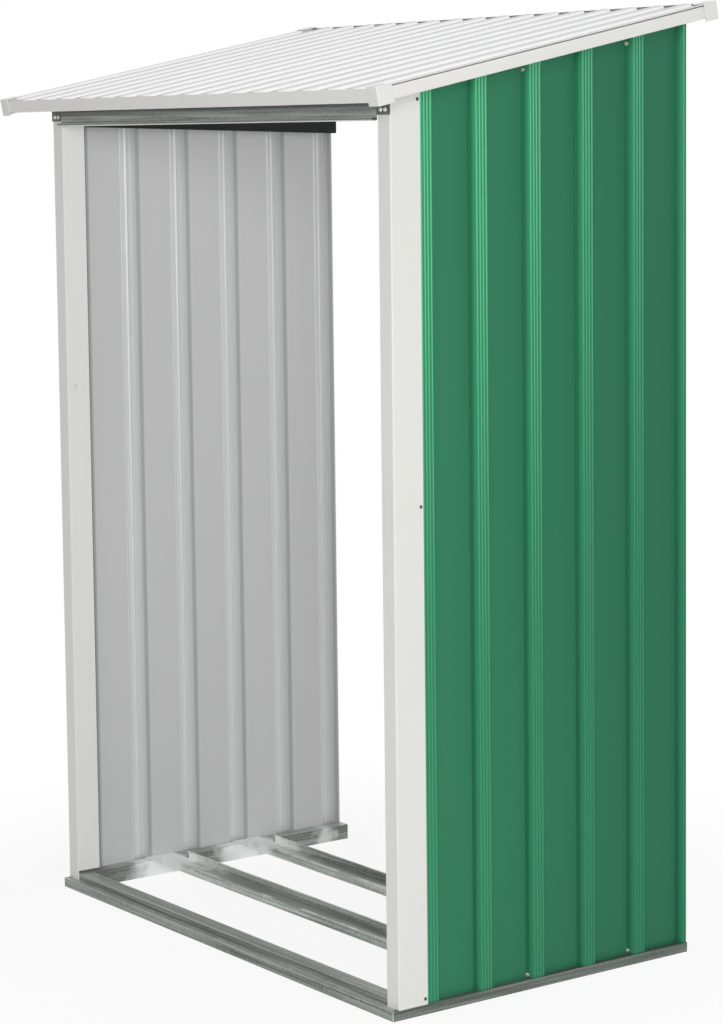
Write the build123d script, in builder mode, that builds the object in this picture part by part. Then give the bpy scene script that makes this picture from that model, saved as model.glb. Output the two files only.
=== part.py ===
from build123d import *
import math
import os

# A narrow flat-pack log store of folded sheet steel: open front and back, two ribbed
# side walls, a stepped base frame with two log rails, and a mono-pitch ribbed roof.
# X runs across the opening, Y from the front to the back, Z up. Millimetres.

# Overall sizes
width = 1085.0
depth = 657.0
eave_height = 1535.3
roof_angle = 11.5
front_overhang = 61.0
side_overhang = 66.0
rear_overhang = 6.0

# Fits: a seat that is held by screws, the inside radius of a rolled bend, and the overrun of cuts
seat_gap = 0.3
bend_radius = 1.5
overrun = 50.0

# Base rails: outer face, ledge for the walls and posts, upstand, flat top, inner lip
rail_gauge = 1.5
rail_face = 17.0
rail_ledge = 13.6
rail_height = 30.0
rail_width = 42.0

# Log rails: shallow channels across the base, with flattened ends on the side rails
log_rail_gauge = 1.5
log_rail_width = 67.0
log_rail_lip = 17.0
log_rail_hem = 5.0
log_rail_flat_end = 62.0
log_rail_place_shares = (0.32, 0.637)

# Front posts: a face, an outer flange over the wall's edge and an inner flange off the rail
post_gauge = 1.5
post_face = 35.0
post_outer_flange = 60.0
post_inner_flange = 48.0
post_foot_gap = 5.0

# Wall sheets: flat pans with trapezoidal ribs whose crests carry three sunk beads
sheet_gauge = 1.2
wall_rib_pitch = 115.0
wall_rib_base = 38.0
wall_rib_crest = 22.5
wall_rib_height = 9.5
bead_width = 4.0
bead_depth = 1.1
bead_place_shares = (0.22, 0.5, 0.78)
right_wall_lead = 52.5
left_wall_lead = 23.5

# Front and rear headers under the roof
header_gauge = 1.5
header_height = 54.3
header_depth = 11.0
header_lip = 6.0
header_tab_rise = 9.5
header_hole = 8.0
header_hole_rise = 18.0
header_hole_shares = (0.32, 0.68)
rear_header_height = 45.0

# Rails along the tops of the walls, inside: one that falls to the back, and one under the roof
wall_rail_gauge = 1.5
wall_rail_step = 1.0
wall_rail_fall = 17.3
wall_rail_height = 27.0
wall_rail_depth = 18.0
bearer_gauge = 1.5
bearer_leg = 25.0

# Roof sheets, edge trims and corner caps
roof_gauge = 1.2
roof_pitch_count = 17
roof_rib_base_share = 0.5
roof_rib_crest_share = 0.26
roof_rib_height = 8.0
roof_sheet_pitches = (6, 5, 6)
trim_gauge = 1.2
trim_face = 21.5
trim_slot = 1.8
trim_lip = 8.0
cap_wall = 1.6
cap_along_front = 26.0
cap_along_side = 29.0
cap_drop = 5.0
cap_round = 3.0

# Roof frame: u across, v up the slope from the front edge, w off the sheets' underside
slope_sin = math.sin(math.radians(roof_angle))
slope_cos = math.cos(math.radians(roof_angle))
roof_width = width + 2 * side_overhang
roof_run = (front_overhang + depth + rear_overhang) / slope_cos
roof_rib_pitch = (roof_width - 2 * trim_gauge) / roof_pitch_count
rib_foot_u = roof_rib_base_share * roof_rib_pitch / 2
rib_crest_u = roof_rib_crest_share * roof_rib_pitch / 2
crest_top = roof_rib_height + roof_gauge
trim_top = roof_rib_height - trim_slot
trim_foot = trim_top - trim_face
cap_top = crest_top + seat_gap + cap_wall
cap_foot = trim_foot - cap_drop
cap_proud = seat_gap + cap_wall

# Places along Y, with the whole store centred on the origin
roof_front_y = -(roof_run * slope_cos - (cap_top + cap_foot) * slope_sin) / 2
base_front_y = roof_front_y + front_overhang
base_rear_y = base_front_y + depth
roof_front_z = eave_height - trim_top * slope_cos

# Places across X: the outer face, the rails' upstand that the wall pans lie against
half_width = width / 2
upstand_x = half_width - rail_ledge
post_back_y = base_front_y + rail_ledge
post_front_y = post_back_y - post_gauge
header_back_y = post_front_y
header_front_y = header_back_y - header_depth
sides = {"left": -1, "right": 1}


def underside_z(y, drop=0.0):
    """Height of the roof sheets' underside at a place along Y, less a drop square to it."""
    return roof_front_z + ((y - roof_front_y) * slope_sin - drop) / slope_cos


def roof_plane(v):
    """Plane square to the slope at v, with u to the right and w up."""
    origin = (0, roof_front_y + v * slope_cos, roof_front_z + v * slope_sin)
    return Plane(origin=origin, x_dir=(1, 0, 0), z_dir=(0, -slope_cos, -slope_sin))


underside = Plane(
    origin=(0, roof_front_y, roof_front_z), x_dir=(1, 0, 0), z_dir=(0, -slope_sin, slope_cos)
)

# Heights under the roof
header_top = underside_z(header_front_y, seat_gap)
header_foot = header_top - header_height
wall_rail_foot = header_foot - wall_rail_step


def folded(points, gauge, radius=0.0):
    """Face of a folded sheet: a line of bends, thickened to its left by the gauge.

    Each bend is rolled to the radius on its inside and to a gauge more on its outside.
    """
    bends = [Vector(*point) for point in points]
    runs = [(end - start).normalized() for start, end in zip(bends, bends[1:])]
    normals = [Vector(-run.Y, run.X) for run in [runs[0], *runs, runs[-1]]]
    inside = [
        bend + (before + after) * (gauge / (1 + before.dot(after)))
        for bend, before, after in zip(bends, normals, normals[1:])
    ]
    wide = radius + abs(gauge) if radius else 0
    towards = [before.cross(after).Z * gauge > 0 for before, after in zip(runs, runs[1:])]
    first_radii = [0, *(wide if turn else radius for turn in towards), 0]
    second_radii = [0, *(radius if turn else wide for turn in towards), 0]
    with BuildLine() as outline:
        FilletPolyline(
            *bends, *reversed(inside), radius=first_radii + second_radii[::-1], close=True
        )
    make_face(outline.edges())


def save(piece, name):
    piece.part.label = name
    export_step(piece.part, f"parts/{name}.step")


os.makedirs("parts", exist_ok=True)


# Base rails. Each is one stepped fold; the front corners are mitred.
def rail_fold(outer, inward):
    """Bends of a base rail's section from the foot of its outer face to its inner lip."""
    return [
        (outer, 0),
        (outer, rail_face),
        (outer + inward * rail_ledge, rail_face),
        (outer + inward * rail_ledge, rail_height),
        (outer + inward * rail_width, rail_height),
        (outer + inward * rail_width, 0),
    ]


def mitre_plane(sign):
    """Upright plane at 45 degrees through a front corner, facing the front rail."""
    corner = (sign * half_width, base_front_y, 0)
    return Plane(origin=corner, x_dir=(0, 0, 1), z_dir=(-sign, -1, 0)).offset(seat_gap / 2)


with BuildPart() as front_rail:
    with BuildSketch(Plane.YZ.offset(-half_width)):
        folded(rail_fold(base_front_y, 1), -rail_gauge)
    extrude(amount=width)
    for sign in sides.values():
        split(bisect_by=mitre_plane(sign), keep=Keep.TOP)
save(front_rail, "base_rail_front")

for side, sign in sides.items():
    with BuildPart() as side_rail:
        with BuildSketch(Plane.XZ.offset(-base_rear_y)):
            folded(rail_fold(sign * half_width, -sign), sign * rail_gauge)
        extrude(amount=depth)
        split(bisect_by=mitre_plane(sign).offset(-seat_gap), keep=Keep.BOTTOM)
    save(side_rail, f"base_rail_{side}")

# Log rails. Upward channels that lie on the side rails; the lips stop short of the ends.
log_rail_half = upstand_x - seat_gap
for place, share in zip(("front", "rear"), log_rail_place_shares):
    centre_y = base_front_y + share * depth
    lip_top = rail_height + log_rail_lip
    front_y = centre_y - log_rail_width / 2
    rear_y = centre_y + log_rail_width / 2
    with BuildPart() as log_rail:
        with BuildSketch(Plane.YZ.offset(-log_rail_half)):
            folded(
                [
                    (front_y + log_rail_hem, lip_top),
                    (front_y, lip_top),
                    (front_y, rail_height),
                    (rear_y, rail_height),
                    (rear_y, lip_top),
                    (rear_y - log_rail_hem, lip_top),
                ],
                log_rail_gauge,
                bend_radius,
            )
        extrude(amount=2 * log_rail_half)
        for sign in sides.values():
            with BuildSketch(Plane.XY.offset(rail_height + log_rail_gauge)):
                with Locations((sign * (log_rail_half - log_rail_flat_end / 2), centre_y)):
                    Rectangle(log_rail_flat_end, log_rail_width)
            extrude(amount=log_rail_lip, mode=Mode.SUBTRACT)
    save(log_rail, f"log_rail_{place}")

# Front posts. They stand on the rails' ledges; the inner flange ends above the rails.
for side, sign in sides.items():
    outer_x = sign * half_width
    inner_x = sign * (half_width - post_face)
    with BuildPart() as post:
        with BuildSketch(Plane.XY.offset(rail_face)):
            folded(
                [
                    (outer_x, post_front_y + post_outer_flange),
                    (outer_x, post_front_y),
                    (inner_x, post_front_y),
                    (inner_x, post_front_y + post_inner_flange),
                ],
                -sign * post_gauge,
                bend_radius,
            )
        extrude(amount=eave_height)
        split(bisect_by=underside.offset(-seat_gap), keep=Keep.BOTTOM)
        with BuildSketch(Plane.XY.offset(rail_face)):
            with Locations((sign * (half_width - rail_width / 2 - rail_ledge / 2), post_back_y)):
                Rectangle(rail_width - rail_ledge, overrun, align=(Align.CENTER, Align.MIN))
        extrude(amount=rail_height + post_foot_gap - rail_face, mode=Mode.SUBTRACT)
    save(post, f"front_post_{side}")


# Wall sheets. Roll-formed ribs with beaded crests, cut to the roof's slope at the top.
def wall_fold(sign, lead):
    """Bends of a ribbed wall sheet in plan, from its front edge past its rear edge."""
    pan_x = sign * upstand_x
    crest_x = sign * (upstand_x + wall_rib_height)
    groove_x = sign * (upstand_x + wall_rib_height - bead_depth)
    flank = (wall_rib_base - wall_rib_crest) / 2
    front_edge_y = post_back_y + seat_gap
    points = [(pan_x, front_edge_y)]
    for index in range(math.ceil((base_rear_y - front_edge_y - lead) / wall_rib_pitch)):
        foot_y = front_edge_y + lead + index * wall_rib_pitch
        crest_y = foot_y + flank
        points += [(pan_x, foot_y), (crest_x, crest_y)]
        for share in bead_place_shares:
            bead_y = crest_y + share * wall_rib_crest
            points += [
                (crest_x, bead_y - bead_width / 2),
                (groove_x, bead_y),
                (crest_x, bead_y + bead_width / 2),
            ]
        points += [(crest_x, crest_y + wall_rib_crest), (pan_x, foot_y + wall_rib_base)]
    points.append((pan_x, points[-1][1] + wall_rib_pitch))
    return points


for side, sign in sides.items():
    lead = right_wall_lead if sign > 0 else left_wall_lead
    with BuildPart() as wall:
        with BuildSketch(Plane.XY.offset(rail_face)):
            folded(wall_fold(sign, lead), -sign * sheet_gauge, bend_radius)
        extrude(amount=2 * eave_height)
        split(bisect_by=underside.offset(-seat_gap), keep=Keep.BOTTOM)
        split(bisect_by=Plane.XZ.offset(-base_rear_y), keep=Keep.TOP)
    save(wall, f"{side}_wall")

# Front header. A channel open to the front, across the posts, with a bare end tab on each.
with BuildPart() as front_header:
    with BuildSketch(Plane.YZ.offset(-half_width)):
        folded(
            [
                (header_front_y, header_foot + header_lip),
                (header_front_y, header_foot),
                (header_back_y, header_foot),
                (header_back_y, header_top),
                (header_front_y, header_top),
            ],
            header_gauge,
            bend_radius,
        )
    extrude(amount=width)
    for sign in sides.values():
        with BuildSketch(Plane.XZ.offset(-(header_back_y - header_gauge))):
            with Locations((sign * half_width, header_foot)):
                Rectangle(2 * post_face, header_height, align=(Align.CENTER, Align.MIN))
        extrude(amount=header_depth, mode=Mode.SUBTRACT)
        with BuildSketch(Plane.XZ.offset(-header_back_y)):
            with Locations((sign * half_width, header_foot)):
                Rectangle(2 * post_face, header_tab_rise, align=(Align.CENTER, Align.MIN))
            for share in header_hole_shares:
                with Locations((sign * (half_width - share * post_face), header_foot + header_hole_rise)):
                    Circle(header_hole / 2)
        extrude(amount=header_depth, mode=Mode.SUBTRACT)
save(front_header, "header_front")

# Rails along the walls' tops, behind the posts' inner flanges, that fall to the back.
wall_rail_front_y = post_front_y + post_inner_flange + seat_gap
wall_rail_run = Vector(0, base_rear_y - wall_rail_front_y, -wall_rail_fall)
for side, sign in sides.items():
    with BuildPart() as wall_rail:
        with BuildSketch(Plane.XZ.offset(-wall_rail_front_y)):
            folded(
                [
                    (sign * upstand_x, wall_rail_foot),
                    (sign * (upstand_x - wall_rail_depth), wall_rail_foot),
                    (sign * (upstand_x - wall_rail_depth), wall_rail_foot + wall_rail_height),
                    (sign * upstand_x, wall_rail_foot + wall_rail_height),
                ],
                -sign * wall_rail_gauge,
                bend_radius,
            )
        extrude(amount=wall_rail_run.length, dir=wall_rail_run)
    save(wall_rail, f"wall_rail_{side}")

# Sloping bearers inside the walls' top edges, under the roof sheets.
bearer_v = (wall_rail_front_y - roof_front_y) / slope_cos
bearer_end_v = (base_rear_y - roof_front_y - bearer_leg * slope_sin) / slope_cos
for side, sign in sides.items():
    bearer_x = sign * upstand_x
    with BuildPart() as bearer:
        with BuildSketch(roof_plane(bearer_end_v)):
            folded(
                [
                    (bearer_x, -bearer_leg),
                    (bearer_x, -seat_gap),
                    (bearer_x - sign * bearer_leg, -seat_gap),
                ],
                sign * bearer_gauge,
                bend_radius,
            )
        extrude(amount=bearer_end_v - bearer_v)
    save(bearer, f"roof_bearer_{side}")

# Rear header. A channel between the bearers at the back of the roof.
rear_header_back_y = base_rear_y - bearer_leg * slope_sin
rear_header_front_y = rear_header_back_y - header_depth
rear_header_top = underside_z(rear_header_front_y, bearer_gauge + 2 * seat_gap)
rear_header_half = upstand_x - bearer_gauge - bend_radius
with BuildPart() as rear_header:
    with BuildSketch(Plane.YZ.offset(-rear_header_half)):
        folded(
            [
                (rear_header_front_y, rear_header_top - rear_header_height),
                (rear_header_back_y, rear_header_top - rear_header_height),
                (rear_header_back_y, rear_header_top),
                (rear_header_front_y, rear_header_top),
            ],
            header_gauge,
            bend_radius,
        )
    extrude(amount=2 * rear_header_half)
save(rear_header, "header_rear")


# Roof sheets. Trapezoidal ribs run up the slope; neighbours meet on a crest.
def roof_fold(left_u, pitches):
    """Bends of a ribbed roof sheet from crest to crest, on its underside."""
    points = [(left_u, roof_rib_height)]
    for index in range(pitches):
        start_u = left_u + index * roof_rib_pitch
        end_u = start_u + roof_rib_pitch
        points += [
            (start_u + rib_crest_u, roof_rib_height),
            (start_u + rib_foot_u, 0),
            (end_u - rib_foot_u, 0),
            (end_u - rib_crest_u, roof_rib_height),
        ]
    points.append((left_u + pitches * roof_rib_pitch, roof_rib_height))
    return points


left_u = -roof_pitch_count * roof_rib_pitch / 2
for place, pitches in zip(("left", "middle", "right"), roof_sheet_pitches):
    with BuildPart() as roof_sheet:
        with BuildSketch(roof_plane(roof_run - trim_gauge)):
            folded(roof_fold(left_u, pitches), roof_gauge)
        extrude(amount=roof_run - 2 * trim_gauge)
    save(roof_sheet, f"roof_sheet_{place}")
    left_u += pitches * roof_rib_pitch

# Roof trims. Channels down the sides, whose top flange tucks into the end rib's hollow, and
# fascias between them that stop the ribs' ends; all are turned in at the foot.
rib_hollow = rib_crest_u + (rib_foot_u - rib_crest_u) * trim_slot / roof_rib_height
trim_flange = trim_gauge + rib_hollow - 2 * seat_gap
for side, sign in sides.items():
    edge_u = sign * roof_width / 2
    with BuildPart() as trim:
        with BuildSketch(roof_plane(roof_run)):
            folded(
                [
                    (edge_u - sign * trim_lip, trim_foot),
                    (edge_u, trim_foot),
                    (edge_u, trim_top),
                    (edge_u - sign * trim_flange, trim_top),
                ],
                sign * trim_gauge,
                bend_radius,
            )
        extrude(amount=roof_run)
    save(trim, f"roof_trim_{side}")

fascia_half = roof_width / 2 - trim_flange - seat_gap
fascia_side_plane = Plane(
    origin=(-fascia_half, roof_front_y, roof_front_z),
    x_dir=(0, slope_cos, slope_sin),
    z_dir=(1, 0, 0),
)
for place, face_v, inward in (("front", 0.0, 1), ("rear", roof_run, -1)):
    with BuildPart() as fascia:
        with BuildSketch(fascia_side_plane):
            folded(
                [
                    (face_v + inward * trim_lip, trim_foot),
                    (face_v, trim_foot),
                    (face_v, roof_rib_height),
                ],
                -inward * trim_gauge,
                bend_radius,
            )
        extrude(amount=2 * fascia_half)
    save(fascia, f"fascia_{place}")

# Corner caps. Thin moulded hoods over the meeting trims.
for place, corner_v, inward in (("front", 0.0, 1), ("rear", roof_run, -1)):
    for side, sign in sides.items():
        shell_u = sign * (roof_width / 2 + cap_proud)
        cavity_u = sign * (roof_width / 2 + seat_gap)
        shell_v = corner_v - inward * cap_proud
        cavity_v = corner_v - inward * seat_gap
        cap_size = (cap_along_front + cap_proud, cap_along_side + cap_proud)
        with BuildPart() as cap:
            with BuildSketch(underside.offset(cap_foot)):
                with Locations((shell_u, shell_v)):
                    Rectangle(
                        *cap_size,
                        align=(
                            Align.MAX if sign > 0 else Align.MIN,
                            Align.MIN if inward > 0 else Align.MAX,
                        ),
                    )
            extrude(amount=cap_top - cap_foot)
            uprights = cap.edges().filter_by(Axis(underside.origin, underside.z_dir))
            fillet(uprights.sort_by(Axis((0, 0, 0), (sign, -inward, 0)))[-1], cap_round)
            with BuildSketch(underside.offset(cap_foot)):
                with Locations((cavity_u, cavity_v)):
                    Rectangle(
                        *cap_size,
                        align=(
                            Align.MAX if sign > 0 else Align.MIN,
                            Align.MIN if inward > 0 else Align.MAX,
                        ),
                    )
            extrude(amount=cap_top - cap_wall - cap_foot, mode=Mode.SUBTRACT)
        save(cap, f"corner_cap_{place}_{side}")
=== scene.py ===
import math

import bmesh
import bpy
from mathutils import Matrix, Vector


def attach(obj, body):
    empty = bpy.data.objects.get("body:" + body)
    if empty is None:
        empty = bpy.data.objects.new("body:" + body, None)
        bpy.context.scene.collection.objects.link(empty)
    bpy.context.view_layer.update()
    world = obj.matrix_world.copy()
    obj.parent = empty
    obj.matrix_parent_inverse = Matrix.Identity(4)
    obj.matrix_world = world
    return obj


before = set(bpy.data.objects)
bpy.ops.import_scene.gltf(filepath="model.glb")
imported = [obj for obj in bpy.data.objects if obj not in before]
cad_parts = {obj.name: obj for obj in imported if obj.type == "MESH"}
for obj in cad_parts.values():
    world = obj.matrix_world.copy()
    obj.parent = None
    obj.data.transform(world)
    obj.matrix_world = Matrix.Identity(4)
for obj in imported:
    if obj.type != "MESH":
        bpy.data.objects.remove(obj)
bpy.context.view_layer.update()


# Front base rail: a stepped fold of galvanised steel, with a face, a ledge, an upstand and a
# flat top, mitred at both ends. The rolls drew the zinc out, so its grey runs in long streaks.
class Wire:
    """A socket of a material's nodes. Sums of wires become Math nodes."""

    def __init__(self, tree, socket=None):
        self.tree = tree
        self.socket = socket

    def node(self, kind, settings, inputs, output=0):
        """A node of any kind, with its settings and what its sockets hold or are fed by."""
        made = self.tree.nodes.new(kind)
        for name, value in settings.items():
            setattr(made, name, value)
        for name, value in inputs.items():
            if isinstance(value, Wire):
                self.tree.links.new(value.socket, made.inputs[name])
            else:
                made.inputs[name].default_value = value
        return Wire(self.tree, made.outputs[output] if made.outputs else None)

    def sum(self, operation, first, second):
        """A Math node on two wires or numbers."""
        return self.node("ShaderNodeMath", {"operation": operation}, {0: first, 1: second})

    def __add__(self, other):
        return self.sum("ADD", self, other)

    def __radd__(self, other):
        return self.sum("ADD", other, self)

    def __sub__(self, other):
        return self.sum("SUBTRACT", self, other)

    def __rsub__(self, other):
        return self.sum("SUBTRACT", other, self)

    def __mul__(self, other):
        return self.sum("MULTIPLY", self, other)

    def __rmul__(self, other):
        return self.sum("MULTIPLY", other, self)

    def __gt__(self, other):
        return self.sum("GREATER_THAN", self, other)

    def __lt__(self, other):
        return self.sum("LESS_THAN", self, other)

    def __abs__(self):
        return self.sum("ABSOLUTE", self, 0.0)


def new_finish(name):
    """A material with nothing in it yet, and the wire that its nodes start from."""
    material = bpy.data.materials.new(name)
    material.use_nodes = True
    material.node_tree.nodes.clear()
    return material, Wire(material.node_tree)


def close_finish(wire, shader):
    """Feeds a finished shader to the material's output."""
    wire.node("ShaderNodeOutputMaterial", {}, {"Surface": shader})


def linear(red, green, blue):
    """A colour as a paint chart gives it, from 0 to 255, as the light it sends back."""
    parts = [part / 255 for part in (red, green, blue)]
    light = [p / 12.92 if p <= 0.04045 else ((p + 0.055) / 1.055) ** 2.4 for p in parts]
    return (*light, 1.0)


def blend(wire, share, first, second):
    """Two colours mixed by a share: the Mix node keeps its colours in sockets 6, 7 and 2."""
    return wire.node(
        "ShaderNodeMix", {"data_type": "RGBA"}, {0: share, 6: first, 7: second}, output=2
    )


def place(wire):
    """Where a point lies on the object, in metres."""
    return wire.node("ShaderNodeTexCoord", {}, {}, output="Object")


def noise(wire, where, scale, detail=3.0):
    """Even noise with so many grains in a metre."""
    return wire.node(
        "ShaderNodeTexNoise", {}, {"Vector": where, "Scale": scale, "Detail": detail}
    )


def dress(material, *names):
    """Gives CAD nodes their finish."""
    for name in names:
        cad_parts[name].material_slots[0].material = material


def stretched(wire, where, scales):
    """Places drawn out along some axes, so that what is laid on them is streaked."""
    return wire.node(
        "ShaderNodeVectorMath", {"operation": "MULTIPLY"}, {0: where, 1: scales}
    )


def split(wire, vector):
    """The three shares of a vector."""
    return [
        wire.node("ShaderNodeSeparateXYZ", {}, {"Vector": vector}, output=axis) for axis in "XYZ"
    ]


def ramp(wire, value, low, high):
    """A smooth step from 0 at one value to 1 at another."""
    return wire.node(
        "ShaderNodeMapRange",
        {"interpolation_type": "SMOOTHSTEP"},
        {"Value": value, "From Min": low, "From Max": high},
    )


def larger(first, second):
    """The larger of two shares."""
    return first.sum("MAXIMUM", first, second)


def swing(value, amount):
    """A noise from 0 to 1 as a swing of so much about nought."""
    return amount * (value - 0.5)


def bumps(wire, height, strength, depth):
    """The way that a face looks with fine bumps of so many metres on it."""
    return wire.node(
        "ShaderNodeBump", {}, {"Height": height, "Strength": strength, "Distance": depth}
    )


zinc_metal = 0.4
zinc_roughness, zinc_roughness_swing = 0.38, 0.16
zinc_contrast = (0.37, 0.63)
streak_scale, cloud_scale, spangle_scale, scratch_scale = 3.2, 0.8, 260.0, 9.0
streak_share, cloud_share, spangle_share = 0.35, 0.4, 0.25
scratch_strength, scratch_depth = 0.08, 0.0004
# White painted over the zinc as highlight, and in places as wear; dark grey painted as shade, and
# in places as dirt.
wear_and_highlight_white = linear(250, 252, 251)
dirt_and_shade_grey = linear(62, 68, 65)


def zinc_finish(name, grain, dark, light, wear_and_highlight=None, dirt_and_shade=None):
    """Galvanised sheet, drawn out into streaks along the grain.

    Wear and highlight, and dirt and shade, where they are given, make the shares of white and of
    dark patches: painted highlights with some real wear, and painted shade with some real dirt.
    """
    material, wire = new_finish(name)
    where = place(wire)
    drawn = stretched(wire, where, grain)
    streaks = streak_share * noise(wire, drawn, streak_scale)
    clouds = noise(wire, drawn, cloud_scale, detail=4.0)
    spangles = spangle_share * noise(wire, where, spangle_scale, detail=4.0)
    share = ramp(wire, streaks + cloud_share * clouds + spangles, *zinc_contrast)
    colour = blend(wire, share, dark, light)
    metal = zinc_metal
    if wear_and_highlight:
        patches = wear_and_highlight(wire, where)
        colour = blend(wire, patches, colour, wear_and_highlight_white)
        metal = zinc_metal - zinc_metal * patches
    if dirt_and_shade:
        colour = blend(wire, dirt_and_shade(wire, where), colour, dirt_and_shade_grey)
    scratches = noise(wire, drawn, scratch_scale, detail=2.0)
    shader = wire.node(
        "ShaderNodeBsdfPrincipled",
        {},
        {
            "Base Color": colour,
            "Metallic": metal,
            "Roughness": zinc_roughness + swing(clouds, zinc_roughness_swing),
            "Normal": bumps(wire, scratches, scratch_strength, scratch_depth),
        },
    )
    close_finish(wire, shader)
    return material


def band(wire, value, low, high, soft):
    """1 between two values and 0 outside them, with soft edges."""
    return ramp(wire, value, low - soft, low + soft) - ramp(wire, value, high - soft, high + soft)


ledge_bend = (0.0158, 0.0175, 0.0006)
top_bend = (0.0288, 0.0299, 0.0004)
mitre_start = (0.5402, 0.5412)
# Painted highlight along the front rail's bends.
edge_glint_scale = 40.0
least_edge_glint, edge_glint_gain = 0.1, 0.4


def edge_highlights(wire, where):
    """The front rail's folded edges, with a painted highlight along the bends, and painted glints
    on the mitres at its ends.
    """
    spot = split(wire, where)
    bends = band(wire, spot[2], *ledge_bend) + band(wire, spot[2], *top_bend)
    glinting = (least_edge_glint + edge_glint_gain * noise(wire, where, edge_glint_scale)) * bends
    return larger(ramp(wire, abs(spot[0]), *mitre_start), glinting)


step_corner = (0.0178, 0.022, 0.0012)
rail_foot = (-0.001, 0.0025, 0.001)
step_shade_share = 0.08


def step_and_foot_shade(wire, where):
    """Painted shade in the step's inner corner and along the foot, where the rail meets the floor.
    """
    height = split(wire, where)[2]
    corner = band(wire, height, *step_corner)
    return step_shade_share * (corner + band(wire, height, *rail_foot))


along_x = (1.3, 70.0, 70.0)
zinc_dark = linear(82, 92, 85)
zinc_light = linear(158, 165, 157)
# The front rail: painted highlights on its bends and mitres, painted shade in the step's corner
# and along its foot.
front_zinc = zinc_finish(
    "zinc_front_rail", along_x, zinc_dark, zinc_light, edge_highlights, step_and_foot_shade
)
dress(front_zinc, "base_rail_front")

# Side base rails: the same stepped fold along the left and the right, open at the back. The
# walls stand on their ledges, and the log rails lie across their flat tops.
along_y = (70.0, 1.6, 70.0)
log_rail_places = (-0.0917, 0.1166)
ledge_start = (0.526, 0.528)
rub_offset = 0.02
rub_scale, rub_ragged = 24.0, 0.08
rear_rub_share, upward_highlight_share = 0.6, 0.25
rub_reach = (0.025, 0.085)
rear_rub = (0.275, 0.315, 0.015)
outward = (0.1, 0.4)
upward = (0.5, 0.8)


def facing(wire):
    """The three shares of the way that a face looks."""
    return split(wire, wire.node("ShaderNodeTexCoord", {}, {}, output="Normal"))


def rubbed_and_lit_inside(wire, where):
    """Faces that look in or up, bright in patches: partly wear where logs slide off the log rails,
    partly painted highlight, which covers all faces that look up.
    """
    spot = split(wire, where)
    way = facing(wire)
    outside = ramp(wire, abs(spot[0]), *ledge_start)
    inner = 1 - larger(outside, ramp(wire, way[0] * spot[0], *outward))
    ragged = spot[1] + swing(noise(wire, where, rub_scale), rub_ragged)
    patch = rear_rub_share * band(wire, ragged, *rear_rub)
    patch = larger(patch, upward_highlight_share * ramp(wire, way[2], *upward))
    for place_y in log_rail_places:
        near = abs(ragged - (place_y - rub_offset))
        patch = larger(patch, 1 - ramp(wire, near, *rub_reach))
    return inner * patch


front_end_y = (-0.24, -0.19)
dirt_and_shade_share = 0.42
ledge_shade = 1.5
ledge_shade_start = (0.528, 0.53)


def outer_dirt_and_ledge_shade(wire, where):
    """The outer faces and front ends, grey from splashed dirt, and the ledge outside the walls,
    darkened as painted shade under the walls' ribs.
    """
    spot = split(wire, where)
    outer = ramp(wire, facing(wire)[0] * spot[0], *outward)
    ledge = ledge_shade * ramp(wire, abs(spot[0]), *ledge_shade_start)
    front_end = 1 - ramp(wire, spot[1], *front_end_y)
    return dirt_and_shade_share * larger(larger(outer, (1 - outer) * ledge), front_end)


side_zinc = zinc_finish(
    "zinc_side_rails", along_y, zinc_dark, zinc_light, rubbed_and_lit_inside, outer_dirt_and_ledge_shade
)
dress(side_zinc, "base_rail_left", "base_rail_right")

# Log rails: shallow galvanised channels that lie across the base on the side rails. Their ends
# and lips carry painted highlights, and their floors painted shade.
lip_edge = (0.0445, 0.046)
lip_glint = (0.42, 0.6)
lip_glint_scale, lip_glint_share = 16.0, 0.55
end_scale, end_ragged = 26.0, 0.2
glint_reach = (0.33, 0.46)


def ragged_reach(wire, where):
    """How far a point lies from the middle of the store, with a ragged edge."""
    return abs(split(wire, where)[0]) + swing(noise(wire, where, end_scale), end_ragged)


def glinting_ends(wire, where):
    """Painted highlights over the last hand's breadth at each end, with a ragged edge, and on the
    lips' rolled edges.
    """
    lips = ramp(wire, split(wire, where)[2], *lip_edge)
    glinting = lips * ramp(wire, noise(wire, where, lip_glint_scale), *lip_glint)
    return larger(lip_glint_share * glinting, ramp(wire, ragged_reach(wire, where), *glint_reach))


channel_floor = (0.032, 0.038)
floor_shade_reach = (0.2, 0.4)
floor_shade_share = 0.45


def shaded_channel_floor(wire, where):
    """Painted shade on the channels' floors, away from the ends."""
    low = 1 - ramp(wire, split(wire, where)[2], *channel_floor)
    return floor_shade_share * low * (1 - ramp(wire, ragged_reach(wire, where), *floor_shade_reach))


log_dark, log_light = linear(132, 142, 136), linear(218, 224, 219)
log_zinc = zinc_finish(
    "zinc_log_rails", along_x, log_dark, log_light, glinting_ends, shaded_channel_floor
)
dress(log_zinc, "log_rail_front", "log_rail_rear")

# Front posts: white coated sheet steel, roll-formed into an open box over the walls' edges.
# The coating is a thin satin polyester with the faint ripple of a sprayed film.
ripple_scale, ripple_strength, ripple_depth = 420.0, 0.05, 0.0003
tint_scale, cloud_shade = 2.2, 0.94
mark_scale, mark_swing = 30.0, 0.08
inward_limit = -0.2
# White painted on the roof as highlight.
highlight_white = linear(252, 252, 252)


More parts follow.
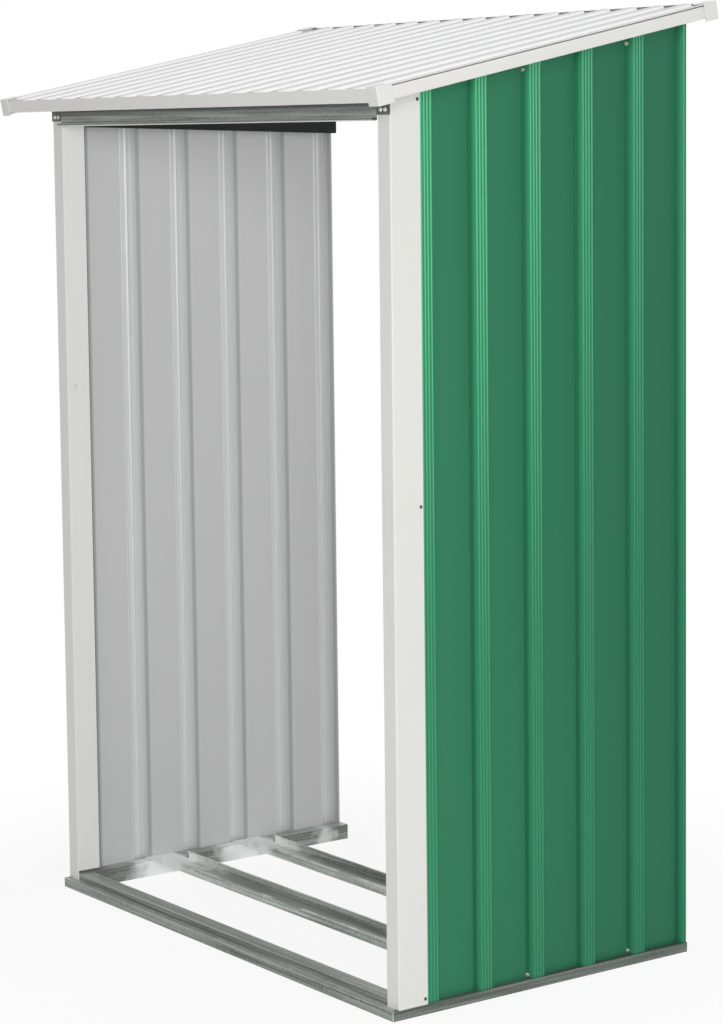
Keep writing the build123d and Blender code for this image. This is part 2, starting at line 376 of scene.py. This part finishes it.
def coated_finish(name, colour, roughness, gloss=0.5, back=None, painted_highlights=None):
    """Sprayed coating: one colour, with slight clouds, a fine ripple and faint rub marks.

    A back coat, where there is one, shows on faces that look in to the middle of the store.
    Painted highlights, where they are given, make the share of white painted over it as highlight.
    """
    material, wire = new_finish(name)
    where = place(wire)
    clouds = noise(wire, where, tint_scale)
    darker = (*(cloud_shade * part for part in colour[:3]), 1.0)
    tint = blend(wire, clouds, darker, colour)
    if back:
        sides = [way * spot for way, spot in zip(facing(wire), split(wire, where))]
        inwards = sides[0] + sides[1] < inward_limit
        tint = blend(wire, inwards, tint, back)
    if painted_highlights:
        tint = blend(wire, painted_highlights(wire, where), tint, highlight_white)
    ripple = noise(wire, where, ripple_scale, detail=2.0)
    shader = wire.node(
        "ShaderNodeBsdfPrincipled",
        {},
        {
            "Base Color": tint,
            "Roughness": roughness + swing(noise(wire, where, mark_scale), mark_swing),
            "Specular IOR Level": gloss,
            "Normal": bumps(wire, ripple, ripple_strength, ripple_depth),
        },
    )
    close_finish(wire, shader)
    return material


satin_roughness = 0.42
post_white = coated_finish("post_white_coating", linear(233, 233, 228), satin_roughness)
dress(post_white, "front_post_left", "front_post_right")

# Wall sheets: roll-formed steel, green satin coating outside and a pale grey back coat
# inside. The crests carry painted highlights, brightest on the lands between their beads, high up
# and towards the front, and the ribs' feet painted shade.
rib_pitch = 0.115
rib_lead = 0.03
crest_x = (0.5345, 0.537)
highlight_rise = (0.5, 1.45)
least_highlight = 0.25
wall_cloud_scale = 1.6
wall_mark_scale, wall_mark_swing = 24.0, 0.1
wall_roughness = 0.34
green_front, green_rear = linear(53, 121, 90), linear(41, 103, 78)
# Pale greens painted on the crests and lands as highlight, and a dark green in the front feet as
# shade.
green_crest_highlight, green_land_highlight = linear(66, 176, 122), linear(124, 244, 184)
green_foot_shade, green_sheen = linear(18, 70, 46), linear(110, 255, 185)
green_run = (-0.25, 0.3)
green_run_share, green_cloud_share = 0.75, 0.25
crest_highlight_run = (-0.15, 0.25)
crest_highlight_fall = 0.5
least_crest, crest_gain = 0.08, 0.16
land_middles = (0.0092, 0.0158, 0.0221, 0.0288)
land_half, land_soft = 0.001, 0.0006
land_highlight_share = 0.65
foot_shade_share = 0.65
front_foot = (-0.003, 0.0025, 0.0015)


def green_coating(wire, spot, along_rib, clouds, highlight_by_height):
    """The outside's green, with painted highlights on the crests, brightest on the lands between
    their beads, and painted shade in each rib's front foot.
    """
    shade = green_run_share * ramp(wire, spot[1], *green_run) + green_cloud_share * clouds
    green = blend(wire, shade, green_front, green_rear)
    on_crest = ramp(wire, abs(spot[0]), *crest_x)
    crest_highlight = highlight_by_height * (1 - crest_highlight_fall * ramp(wire, spot[1], *crest_highlight_run))
    paler = (least_crest + crest_gain * crest_highlight) * on_crest
    green = blend(wire, paler, green, green_crest_highlight)
    lands = sum(
        band(wire, along_rib, middle - land_half, middle + land_half, land_soft)
        for middle in land_middles
    )
    green = blend(wire, land_highlight_share * crest_highlight * on_crest * lands, green, green_land_highlight)
    foot = foot_shade_share * band(wire, along_rib, *front_foot)
    return blend(wire, foot, green, green_foot_shade)


grey_dark, grey_light = linear(195, 195, 196), linear(203, 203, 203)
# Pale greys painted in the ribs as highlight, and a dark grey at the rear feet as shade.
grey_rib_highlight, grey_land_highlight = linear(232, 232, 234), linear(254, 254, 254)
grey_foot_shade = linear(120, 129, 124)
front_flank = (-0.002, 0.008, 0.001)
crest_run = (0.0085, 0.0305, 0.0012)
main_land = (0.0142, 0.0176, 0.0008)
lesser_land = (0.0258, 0.029, 0.0008)
least_flank, flank_gain = 0.3, 0.4
most_crest, crest_loss = 0.52, 0.3
main_land_share, lesser_land_share = 0.95, 0.6
grey_highlight_run = (-0.12, 0.1)
grey_highlight_fall = 0.45
rear_foot_shade_share = 0.5
rear_foot = (0.0355, 0.0425, 0.002)


def grey_coating(wire, spot, along_rib, clouds, highlight_by_height):
    """The inside's grey, with painted highlights in the ribs and painted shade along each rib's
    rear foot.
    """
    grey = blend(wire, clouds, grey_dark, grey_light)
    flank = (least_flank + flank_gain * highlight_by_height) * band(wire, along_rib, *front_flank)
    crest = (most_crest - crest_loss * highlight_by_height) * band(wire, along_rib, *crest_run)
    grey = blend(wire, flank + crest, grey, grey_rib_highlight)
    main = main_land_share * band(wire, along_rib, *main_land)
    lands = main + lesser_land_share * band(wire, along_rib, *lesser_land)
    grey_highlight = highlight_by_height * (1 - grey_highlight_fall * ramp(wire, spot[1], *grey_highlight_run))
    grey = blend(wire, grey_highlight * lands, grey, grey_land_highlight)
    foot = rear_foot_shade_share * band(wire, along_rib, *rear_foot)
    return blend(wire, foot, grey, grey_foot_shade)


def wall_finish(name, first_foot):
    """Green outside and grey inside, on ribs that start so far along the wall."""
    material, wire = new_finish(name)
    where = place(wire)
    spot = split(wire, where)
    from_lead = spot[1] - (first_foot - rib_lead)
    along_rib = wire.sum("FLOORED_MODULO", from_lead, rib_pitch) - rib_lead
    clouds = noise(wire, where, wall_cloud_scale)
    # Painted highlights on the walls' ribs grow stronger up the wall.
    highlight_by_height = least_highlight + (1 - least_highlight) * ramp(wire, spot[2], *highlight_rise)
    marks = noise(wire, where, wall_mark_scale)
    ripple = noise(wire, where, ripple_scale, detail=2.0)
    film = {
        "Roughness": wall_roughness + swing(marks, wall_mark_swing),
        "Normal": bumps(wire, ripple, ripple_strength, ripple_depth),
    }
    green = green_coating(wire, spot, along_rib, clouds, highlight_by_height)
    grey = grey_coating(wire, spot, along_rib, clouds, highlight_by_height)
    green_coat = wire.node(
        "ShaderNodeBsdfPrincipled", {}, {"Base Color": green, "Specular Tint": green_sheen, **film}
    )
    grey_coat = wire.node("ShaderNodeBsdfPrincipled", {}, {"Base Color": grey, **film})
    outwards = facing(wire)[0] * spot[0] > 0.0
    close_finish(
        wire, wire.node("ShaderNodeMixShader", {}, {0: outwards, 1: grey_coat, 2: green_coat})
    )
    return material


right_first_foot, left_first_foot = -0.2355, -0.2645
dress(wall_finish("right_wall_coating", right_first_foot), "right_wall")
dress(wall_finish("left_wall_coating", left_first_foot), "left_wall")

# Headers and bearers: galvanised folds under the roof, screwed across the posts and along the
# walls' top edges. Under the roof's edge the headers carry painted shade, and their lip a painted
# highlight.
tab_start = (0.5072, 0.5078)
tab_shade_share, lip_corner_shade_share, lip_highlight_share = 0.8, 0.6, 0.7
lip_corner = (1.4895, 1.492, 0.0008)
shade_rise = (1.498, 1.522)
lip_foot = (1.488, 1.4895)


def shade_under_roof(wire, where):
    """Painted shade under the roof's edge, in the corner above the lip and on the tabs at the
    header's ends.
    """
    spot = split(wire, where)
    tabs = tab_shade_share * ramp(wire, abs(spot[0]), *tab_start)
    lip = lip_corner_shade_share * band(wire, spot[2], *lip_corner)
    return larger(tabs, larger(lip, ramp(wire, spot[2], *shade_rise)))


def lip_highlight(wire, where):
    """Painted highlight on the lip at the header's foot."""
    return lip_highlight_share * (1 - ramp(wire, split(wire, where)[2], *lip_foot))


header_dark, header_light = linear(98, 106, 100), linear(178, 184, 178)
header_zinc = zinc_finish(
    "zinc_headers", along_x, header_dark, header_light, lip_highlight, shade_under_roof
)
dress(header_zinc, "header_front", "header_rear")
dress(side_zinc, "roof_bearer_left", "roof_bearer_right")

# Wall rails: channels screwed on inside the walls' tops behind the front posts, coloured near
# black as painted shade for the shadow under the roof. They fall a little to the back.
rail_roughness, rail_gloss = 0.55, 0.1
shaded_rail_coating = coated_finish(
    "shaded_rail_material", linear(40, 43, 42), rail_roughness, rail_gloss
)
dress(shaded_rail_coating, "wall_rail_left", "wall_rail_right")

# Roof sheets: white coated trapezoidal sheet, three of them side by side down the slope. The
# ribs' flanks and the pans between them carry painted highlights, which leaves the crests duller.
roof_slope = math.radians(11.5)
roof_front_y, roof_front_z = -0.36292, 1.52922
flank_lean = (0.2, 0.5)
flank_middle = (0.0045, 0.0072, 0.0015)
pan_top = (0.0015, 0.0025)
least_flank_highlight, pan_highlight = 0.4, 0.6


def roof_highlights(wire, where):
    """Painted highlights on the pans and on the ribs' flanks, brightest half way up."""
    spot = split(wire, where)
    leaning = ramp(wire, abs(facing(wire)[0]), *flank_lean)
    rise = math.cos(roof_slope) * (spot[2] - roof_front_z)
    off_sheet = rise - math.sin(roof_slope) * (spot[1] - roof_front_y)
    half_way_up = band(wire, off_sheet, *flank_middle)
    flanks = leaning * (least_flank_highlight + (1 - least_flank_highlight) * half_way_up)
    return larger(flanks, pan_highlight * (1 - ramp(wire, off_sheet, *pan_top)))


roof_grey = linear(217, 217, 217)
roof_roughness, roof_gloss = 0.6, 0.12
roof_white = coated_finish(
    "roof_white_coating", roof_grey, roof_roughness, roof_gloss, painted_highlights=roof_highlights
)
dress(roof_white, "roof_sheet_left", "roof_sheet_middle", "roof_sheet_right")

# Roof trims: white coated channels down the roof's sides and fascias at its ends, folded from
# sheet, with a back coat on the faces that look in, dark grey as painted shade in the ribs'
# hollows.
trim_back_shade = linear(120, 120, 120)
trim_white = coated_finish(
    "trim_white_coating", linear(233, 232, 228), satin_roughness, back=trim_back_shade
)
dress(trim_white, "roof_trim_left", "roof_trim_right", "fascia_front", "fascia_rear")

# Corner caps: thin hoods moulded in white plastic, each with one rounded corner. They are
# pushed over the corners where the trims and fascias meet.
cap_roughness, cap_gloss = 0.5, 0.4
cap_plastic = coated_finish(
    "cap_white_plastic", linear(231, 231, 228), cap_roughness, cap_gloss
)
dress(
    cap_plastic,
    *(f"corner_cap_{end}_{side}" for end in ("front", "rear") for side in ("left", "right")),
)

# Wall screws: self-drilling screws with pressed washers, turned from zinc-coated steel. They
# hold the walls to the bearers at the top and to the base rails at the foot.
washer_shares = [(1.0, -0.1), (1.0, 0.14), (0.66, 0.24)]
head_shares = [(0.62, 0.5), (0.5, 0.64), (0.28, 0.7), (0.0, 0.72)]
screw_facets = 20
merge_distance = 0.00001


def turned_screws(name, material, radius, seats):
    """One mesh of screws: each has a seat and the way that its head looks."""
    mesh = bmesh.new()
    for seat, way in seats:
        points = [
            mesh.verts.new((radius * across, 0.0, radius * up))
            for across, up in washer_shares + head_shares
        ]
        edges = [mesh.edges.new(pair) for pair in zip(points, points[1:])]
        bmesh.ops.spin(
            mesh,
            geom=points + edges,
            cent=(0.0, 0.0, 0.0),
            axis=(0.0, 0.0, 1.0),
            angle=math.tau,
            steps=screw_facets,
            use_merge=True,
        )
        grey_highlight = {vert for face in mesh.faces if not face.tag for vert in face.verts} | set(points)
        turn = Vector((0.0, 0.0, 1.0)).rotation_difference(Vector(way)).to_matrix().to_4x4()
        bmesh.ops.transform(mesh, matrix=Matrix.Translation(seat) @ turn, verts=list(grey_highlight))
        for face in mesh.faces:
            face.tag = True
    bmesh.ops.remove_doubles(mesh, verts=mesh.verts, dist=merge_distance)
    bmesh.ops.recalc_face_normals(mesh, faces=mesh.faces)
    data = bpy.data.meshes.new(name)
    mesh.to_mesh(data)
    mesh.free()
    for polygon in data.polygons:
        polygon.use_smooth = True
    data.materials.append(material)
    piece = bpy.data.objects.new(name, data)
    bpy.context.scene.collection.objects.link(piece)
    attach(piece, "root")


pan_x = 0.5301
right_rib_feet = (-0.0055, 0.2245)
left_rib_feet = (-0.0345, 0.1955)
off_foot = 0.002
wall_screw_tops = (1.571, 1.6163)
wall_screw_foot = 0.0225
wall_screw_radius = 0.0052
wall_seats = []
for side, rib_feet in ((1, right_rib_feet), (-1, left_rib_feet)):
    for foot, top in zip(rib_feet, wall_screw_tops):
        for height in (top, wall_screw_foot):
            wall_seats.append(((side * pan_x, foot + off_foot, height), (side, 0, 0)))
even_grain = (90.0, 90.0, 90.0)
wall_screw_zinc = zinc_finish(
    "zinc_wall_screws", even_grain, linear(120, 122, 112), linear(206, 206, 196)
)
turned_screws("wall_screws", wall_screw_zinc, wall_screw_radius, wall_seats)

# Post screws: small dark screws of the same kind, driven through the posts' outer flanges into
# the walls' front edges, three to a post.
post_side_x = 0.5425
post_screw_y = -0.2348
post_screw_heights = (0.027, 0.856, 1.5215)
post_screw_radius = 0.003
post_seats = [
    ((side * post_side_x, post_screw_y, height), (side, 0, 0))
    for side in (1, -1)
    for height in post_screw_heights
]
post_screw_zinc = zinc_finish(
    "zinc_post_screws", even_grain, linear(52, 52, 50), linear(110, 110, 106)
)
turned_screws("post_screws", post_screw_zinc, post_screw_radius, post_seats)

# Tab bolts: bright zinc bolts, two through each of the header's tabs into a post, and two more
# inside each post.
bolt_radius = 0.0042
flange_bolt = (0.5075, -0.274, 0.989)
edge_bolt = (0.5372, -0.2365, 0.856)
tab_front_y, tab_bolt_z = -0.2913, 1.5052
tab_bolt_xs = (0.5313, 0.5187)
bolt_seats = [
    ((side * across, along, height), (-side, 0, 0))
    for across, along, height in (flange_bolt, edge_bolt)
    for side in (1, -1)
]
bolt_seats += [
    ((side * across, tab_front_y, tab_bolt_z), (0, -1, 0))
    for side in (1, -1)
    for across in tab_bolt_xs
]
bolt_zinc = zinc_finish(
    "zinc_tab_bolts", even_grain, linear(196, 198, 198), linear(238, 240, 240)
)
turned_screws("tab_bolts", bolt_zinc, bolt_radius, bolt_seats)

# Floor: a wide pale studio floor, level with the foot of the base rails. It fades into the
# white of the studio away from the store, and keeps the store's shadow near it.
floor_half = 9.0
floor_drop = 0.0005
floor_parts = 4
floor_paint = (0.9, 0.9, 0.9, 1.0)
studio_white = (1.0, 1.0, 1.0, 1.0)
shadow_reach = (0.6, 1.5)
shadow_share = 0.12
floor_mesh = bmesh.new()
bmesh.ops.create_grid(
    floor_mesh, x_segments=floor_parts, y_segments=floor_parts, size=floor_half
)
bmesh.ops.translate(floor_mesh, verts=floor_mesh.verts, vec=(0, 0, -floor_drop))
floor_data = bpy.data.meshes.new("studio_floor")
floor_mesh.to_mesh(floor_data)
floor_mesh.free()
floor = bpy.data.objects.new("studio_floor", floor_data)
bpy.context.scene.collection.objects.link(floor)
floor_white, wire = new_finish("floor_white")


def in_view(wire):
    """1 for rays from the camera and for those that come by way of metal or glass."""
    camera, glossy, through = [
        wire.node("ShaderNodeLightPath", {}, {}, output=f"Is {ray} Ray")
        for ray in ("Camera", "Glossy", "Transmission")
    ]
    return larger(larger(camera, glossy), through)


seen = in_view(wire)
away = wire.node("ShaderNodeVectorMath", {"operation": "LENGTH"}, {0: place(wire)}, output="Value")
fade = (1 - shadow_share) + shadow_share * ramp(wire, away, *shadow_reach)
paint = wire.node("ShaderNodeBsdfDiffuse", {}, {"Color": floor_paint})
glow = wire.node("ShaderNodeEmission", {}, {"Color": studio_white, "Strength": 1.0})
close_finish(wire, wire.node("ShaderNodeMixShader", {}, {0: fade * seen, 1: paint, 2: glow}))
floor_data.materials.append(floor_white)

# Light: an even white surround, a soft lamp beside the camera that reaches into the store, a
# small one behind it on the right and one above the roof.
surround = bpy.data.worlds.new("studio")
bpy.context.scene.world = surround
surround.use_nodes = True
surround.node_tree.nodes.clear()
wire = Wire(surround.node_tree)
surround_level = 0.35
seen = in_view(wire)
backdrop = wire.node(
    "ShaderNodeBackground",
    {},
    {"Color": studio_white, "Strength": surround_level + (1 - surround_level) * seen},
)
wire.node("ShaderNodeOutputWorld", {}, {"Surface": backdrop})
store_middle = Vector((0.0, 0.0, 0.85))


def soft_lamp(name, azimuth, height, distance, size, power):
    """A square soft box that looks at the middle of the store, at so many degrees from +X."""
    lamp = bpy.data.lights.new(name, "AREA")
    lamp.size = size
    lamp.energy = power
    holder = bpy.data.objects.new(name, lamp)
    turn = math.radians(azimuth)
    holder.location = (distance * math.cos(turn), distance * math.sin(turn), height)
    holder.rotation_euler = (store_middle - holder.location).to_track_quat("-Z", "Y").to_euler()
    bpy.context.scene.collection.objects.link(holder)


soft_lamp("camera_lamp", azimuth=-35.0, height=1.7, distance=5.4, size=2.0, power=124.0)
soft_lamp("rear_lamp", azimuth=70.0, height=2.0, distance=5.0, size=1.6, power=60.0)
soft_lamp("top_lamp", azimuth=-45.0, height=5.2, distance=0.6, size=2.4, power=66.0)

# Camera: a long lens a little below the eave, off the front right corner. The lens is shifted,
# because the picture's centre isn't where the camera points.
photo_height = 1024
focal_length_px = 2808.5
sensor_mm = 36.0
camera_stand = (4.1874, -2.9970, 1.4640)
camera_azimuth = math.radians(54.011)
camera_tilt = math.radians(5.809)
camera_roll = math.radians(-0.652)
centre_px = (363.3, 421.1)
frame_centre_px = (361.5, 512.0)
camera_data = bpy.data.cameras.new("photo_camera")
camera_data.sensor_width = sensor_mm
camera_data.lens = focal_length_px * sensor_mm / photo_height
camera_data.shift_x = (frame_centre_px[0] - centre_px[0]) / photo_height
camera_data.shift_y = (centre_px[1] - frame_centre_px[1]) / photo_height
camera = bpy.data.objects.new("photo_camera", camera_data)
camera.location = camera_stand
camera.rotation_euler = (
    Matrix.Rotation(camera_azimuth, 3, "Z")
    @ Matrix.Rotation(math.pi / 2 - camera_tilt, 3, "X")
    @ Matrix.Rotation(camera_roll, 3, "Z")
).to_euler()
bpy.context.scene.collection.objects.link(camera)
bpy.context.scene.camera = camera
bpy.context.scene.view_settings.view_transform = "Standard"
